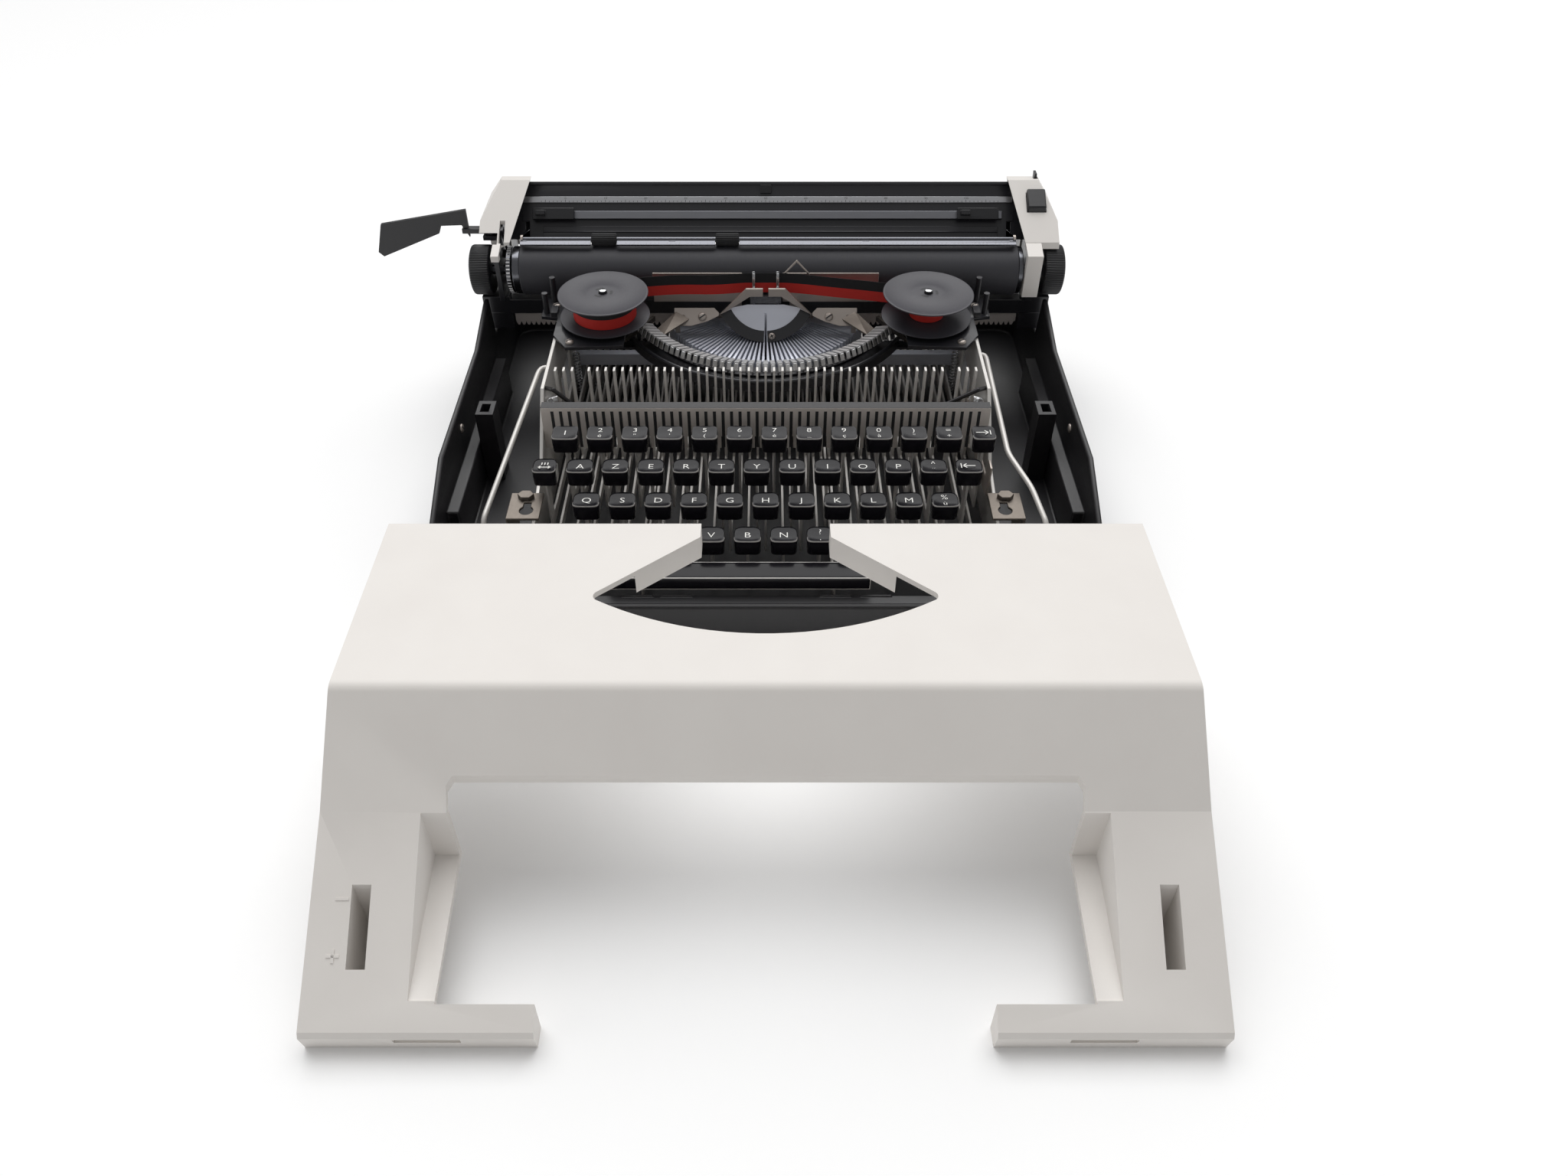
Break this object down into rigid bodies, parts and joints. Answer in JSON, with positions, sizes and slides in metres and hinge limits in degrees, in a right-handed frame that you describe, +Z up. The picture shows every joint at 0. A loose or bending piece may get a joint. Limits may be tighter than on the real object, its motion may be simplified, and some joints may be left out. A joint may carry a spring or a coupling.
{
  "type": "typewriter",
  "caption": "Flat portable typewriter with a wide carriage, open type basket, two ribbon spools and keys on levers, its moulded top cover standing in front.",
  "frame": {"origin": "middle of the footprint of machine and cover together, on the table plane", "axes": "+Z up, -Y towards the typist, +X along the carriage to the typist's right"},
  "size_m": [0.4334, 0.524, 0.133],
  "materials": {
    "pan_plastic": "moulded satin black",
    "foot_rubber": "matt black",
    "frame_steel": "plated sheet",
    "nickel_plate": "warm nickel plate",
    "rod_steel": "polished rod",
    "key_plastic": "glossy black with white legends",
    "bar_steel": "plated typebar",
    "segment_metal": "cast and ground",
    "dark_steel": "black finish",
    "spool_metal": "satin charcoal",
    "ribbon_cloth": "inked, black over red",
    "cover_plastic": "warm off-white moulding",
    "platen_rubber": "ground hard rubber",
    "knob_plastic": "ribbed black moulding",
    "scale_metal": "satin, dark marks",
    "rail_steel": "satin steel"
  },
  "bodies": {
    "base": {"base_pan": "pan_plastic", "rubber_feet": "foot_rubber", "side_frames": "frame_steel", "mount_plates": "nickel_plate", "key_comb": "nickel_plate", "cross_rods": "rod_steel", "front_apron": "pan_plastic", "link_rods": "frame_steel", "screws": "frame_steel", "typebars": "bar_steel", "type_segment": "segment_metal", "type_rest": "dark_steel", "type_guide": "nickel_plate", "card_plates": "segment_metal", "ribbon_deck": "dark_steel", "ribbon": "ribbon_cloth", "carriage_rail": "rail_steel"},
    "key_row_1": {"keys_row_1": "key_plastic"},
    "key_row_2": {"keys_row_2": "key_plastic"},
    "key_row_3": {"keys_row_3": "key_plastic"},
    "key_row_4": {"keys_row_4": "key_plastic"},
    "key_h_lever": {"key_h": "key_plastic"},
    "typebar_h_arm": {"typebar_h": "bar_steel"},
    "margin_release_lever": {"margin_release_key": "key_plastic"},
    "backspace_lever": {"backspace_key": "key_plastic"},
    "tab_lever": {"tab_key": "key_plastic"},
    "shift_left_lever": {"shift_key_left": "key_plastic"},
    "shift_right_lever": {"shift_key_right": "key_plastic"},
    "shift_lock_lever": {"shift_lock_key": "key_plastic"},
    "space_bar_lever": {"space_bar": "key_plastic"},
    "vibrator_slide": {"ribbon_vibrator": "dark_steel"},
    "spool_left_turning": {"spool_left": "spool_metal"},
    "spool_right_turning": {"spool_right": "spool_metal"},
    "selector_arm": {"ribbon_selector": "nickel_plate"},
    "drum": {"mainspring_drum": "rail_steel"},
    "lower_carriage": {"carriage_base": "dark_steel", "carriage_rack": "rail_steel"},
    "upper_carriage": {"carriage_sides": "frame_steel", "end_cover_left": "cover_plastic", "end_cover_right": "cover_plastic", "paper_table": "dark_steel", "erasing_plate": "dark_steel", "paper_scale": "scale_metal", "margin_rail": "rail_steel"},
    "stop_left_slide": {"margin_stop_left": "knob_plastic"},
    "stop_right_slide": {"margin_stop_right": "knob_plastic"},
    "pointer_slide": {"paper_pointer": "scale_metal"},
    "platen_turning": {"platen": "platen_rubber", "platen_core": "rail_steel", "platen_knob_left": "knob_plastic", "platen_knob_right": "knob_plastic"},
    "feed_turning": {"feed_rollers": "platen_rubber"},
    "return_arm": {"return_lever": "dark_steel"},
    "bail_arm": {"paper_bail": "rod_steel"},
    "roller_left_turning": {"bail_roller_left": "platen_rubber"},
    "roller_right_turning": {"bail_roller_right": "platen_rubber"},
    "release_arm": {"paper_release": "knob_plastic"},
    "button_slide": {"release_button": "knob_plastic"},
    "spacing_arm": {"line_space_selector": "dark_steel"},
    "top_cover": {"cover": "cover_plastic"}
  },
  "joints": [
    {"name": "key_row_1_press", "type": "hinge", "parent": "base", "child": "key_row_1", "pos_m": [0.02925, 0.232, 0.017], "axis": [1, 0, 0], "range_deg": [0, 2.7], "stiffness_Nm_per_rad": 8, "springref_deg": -3.44},
    {"name": "key_row_2_press", "type": "hinge", "parent": "base", "child": "key_row_2", "pos_m": [0.02925, 0.232, 0.017], "axis": [1, 0, 0], "range_deg": [0, 2.5], "stiffness_Nm_per_rad": 8, "springref_deg": -3.44},
    {"name": "key_row_3_press", "type": "hinge", "parent": "base", "child": "key_row_3", "pos_m": [0.02925, 0.232, 0.017], "axis": [1, 0, 0], "range_deg": [0, 2.3], "stiffness_Nm_per_rad": 8, "springref_deg": -3.44},
    {"name": "key_row_4_press", "type": "hinge", "parent": "base", "child": "key_row_4", "pos_m": [0.02925, 0.232, 0.017], "axis": [1, 0, 0], "range_deg": [0, 2], "stiffness_Nm_per_rad": 8, "springref_deg": -3.44},
    {"name": "key_h_press", "type": "hinge", "parent": "base", "child": "key_h_lever", "pos_m": [0.02925, 0.232, 0.017], "axis": [1, 0, 0], "range_deg": [0, 2.3], "stiffness_Nm_per_rad": 1, "springref_deg": -3.44},
    {"name": "typebar_h_swing", "type": "hinge", "parent": "base", "child": "typebar_h_arm", "pos_m": [0.02925, 0.1649, 0.0348], "axis": [1, 0, 0], "range_deg": [-68.7, 0]},
    {"name": "margin_release_press", "type": "hinge", "parent": "base", "child": "margin_release_lever", "pos_m": [0.02925, 0.232, 0.017], "axis": [1, 0, 0], "range_deg": [0, 1.6], "stiffness_Nm_per_rad": 1, "springref_deg": -3.44},
    {"name": "backspace_press", "type": "hinge", "parent": "base", "child": "backspace_lever", "pos_m": [0.02925, 0.232, 0.017], "axis": [1, 0, 0], "range_deg": [0, 2.3], "stiffness_Nm_per_rad": 1, "springref_deg": -3.44},
    {"name": "tab_press", "type": "hinge", "parent": "base", "child": "tab_lever", "pos_m": [0.02925, 0.232, 0.017], "axis": [1, 0, 0], "range_deg": [0, 2.3], "stiffness_Nm_per_rad": 1, "springref_deg": -3.44},
    {"name": "shift_left_press", "type": "hinge", "parent": "base", "child": "shift_left_lever", "pos_m": [0.02925, 0.232, 0.017], "axis": [1, 0, 0], "range_deg": [0, 2], "stiffness_Nm_per_rad": 1, "springref_deg": -3.44},
    {"name": "shift_right_press", "type": "hinge", "parent": "base", "child": "shift_right_lever", "pos_m": [0.02925, 0.232, 0.017], "axis": [1, 0, 0], "range_deg": [0, 2]},
    {"name": "shift_lock_press", "type": "hinge", "parent": "base", "child": "shift_lock_lever", "pos_m": [0.02925, 0.232, 0.017], "axis": [1, 0, 0], "range_deg": [0, 1.2], "stiffness_Nm_per_rad": 1, "springref_deg": -3.44},
    {"name": "space_bar_press", "type": "hinge", "parent": "base", "child": "space_bar_lever", "pos_m": [0.02925, 0.232, 0.017], "axis": [1, 0, 0], "range_deg": [0, 1.4], "stiffness_Nm_per_rad": 2, "springref_deg": -3.44},
    {"name": "vibrator_lift", "type": "slide", "parent": "base", "child": "vibrator_slide", "axis": [0, 0, 1], "range_m": [0, 0.008], "stiffness_N_per_m": 20, "springref_m": -0.002},
    {"name": "spool_left_spin", "type": "hinge", "parent": "base", "child": "spool_left_turning", "pos_m": [-0.06805, 0.156, 0.085], "axis": [0, 0, 1], "continuous": true},
    {"name": "spool_right_spin", "type": "hinge", "parent": "base", "child": "spool_right_turning", "pos_m": [0.12655, 0.156, 0.085], "axis": [0, 0, 1], "continuous": true},
    {"name": "ribbon_selector_swing", "type": "hinge", "parent": "base", "child": "selector_arm", "pos_m": [0.15075, 0.122, 0.042], "axis": [1, 0, 0], "range_deg": [-2.5, 2.5]},
    {"name": "carriage_travel", "type": "slide", "parent": "base", "child": "lower_carriage", "axis": [1, 0, 0], "range_m": [-0.135, 0.135]},
    {"name": "mainspring_drum_spin", "type": "hinge", "parent": "base", "child": "drum", "pos_m": [-0.06575, 0.235, 0.04], "axis": [0, 0, 1], "continuous": true},
    {"name": "carriage_shift", "type": "slide", "parent": "lower_carriage", "child": "upper_carriage", "axis": [0, 0, 1], "range_m": [0, 0.0065], "stiffness_N_per_m": 300, "springref_m": 0.055},
    {"name": "margin_stop_left_slide", "type": "slide", "parent": "upper_carriage", "child": "stop_left_slide", "axis": [1, 0, 0], "range_m": [0, 0.1]},
    {"name": "margin_stop_right_slide", "type": "slide", "parent": "upper_carriage", "child": "stop_right_slide", "axis": [1, 0, 0], "range_m": [-0.1, 0]},
    {"name": "paper_pointer_slide", "type": "slide", "parent": "upper_carriage", "child": "pointer_slide", "axis": [1, 0, 0], "range_m": [-0.01, 0.07]},
    {"name": "platen_spin", "type": "hinge", "parent": "upper_carriage", "child": "platen_turning", "pos_m": [0.02925, 0.2014, 0.088], "axis": [1, 0, 0], "continuous": true},
    {"name": "feed_roller_spin", "type": "hinge", "parent": "upper_carriage", "child": "feed_turning", "pos_m": [0.02925, 0.2204, 0.08], "axis": [1, 0, 0], "continuous": true},
    {"name": "return_lever_swing", "type": "hinge", "parent": "upper_carriage", "child": "return_arm", "pos_m": [-0.14275, 0.214, 0.108], "axis": [0, 0, 1], "range_deg": [0, 20]},
    {"name": "paper_bail_swing", "type": "hinge", "parent": "upper_carriage", "child": "bail_arm", "pos_m": [0.02925, 0.224, 0.101], "axis": [1, 0, 0], "range_deg": [-52, 0]},
    {"name": "bail_roller_left_spin", "type": "hinge", "parent": "bail_arm", "child": "roller_left_turning", "pos_m": [-0.07075, 0.2028, 0.1075], "axis": [1, 0, 0], "continuous": true},
    {"name": "bail_roller_right_spin", "type": "hinge", "parent": "bail_arm", "child": "roller_right_turning", "pos_m": [0.00525, 0.2028, 0.1075], "axis": [1, 0, 0], "continuous": true},
    {"name": "paper_release_swing", "type": "hinge", "parent": "upper_carriage", "child": "release_arm", "pos_m": [0.19825, 0.238, 0.097], "axis": [1, 0, 0], "range_deg": [-12, 0]},
    {"name": "release_button_press", "type": "slide", "parent": "upper_carriage", "child": "button_slide", "axis": [0, 0, 1], "range_m": [-0.002, 0], "stiffness_N_per_m": 50, "springref_m": 0.002},
    {"name": "line_space_selector_swing", "type": "hinge", "parent": "upper_carriage", "child": "spacing_arm", "pos_m": [-0.13375, 0.213, 0.093], "axis": [1, 0, 0], "range_deg": [-6, 10]},
    {"name": "cover_lift", "type": "slide", "parent": "base", "child": "top_cover", "axis": [0, 0, 1], "range_m": [0, 0.12]}
  ],
  "couplings": [
    {"joint": "typebar_h_swing", "follows": "key_h_press", "ratio": -29.826},
    {"joint": "shift_right_press", "follows": "shift_left_press", "ratio": 1},
    {"joint": "carriage_shift", "follows": "shift_left_press", "m_per_rad": 0.18619},
    {"joint": "feed_roller_spin", "follows": "platen_spin", "ratio": -3.06},
    {"joint": "mainspring_drum_spin", "follows": "carriage_travel", "rad_per_m": 20}
  ]
}
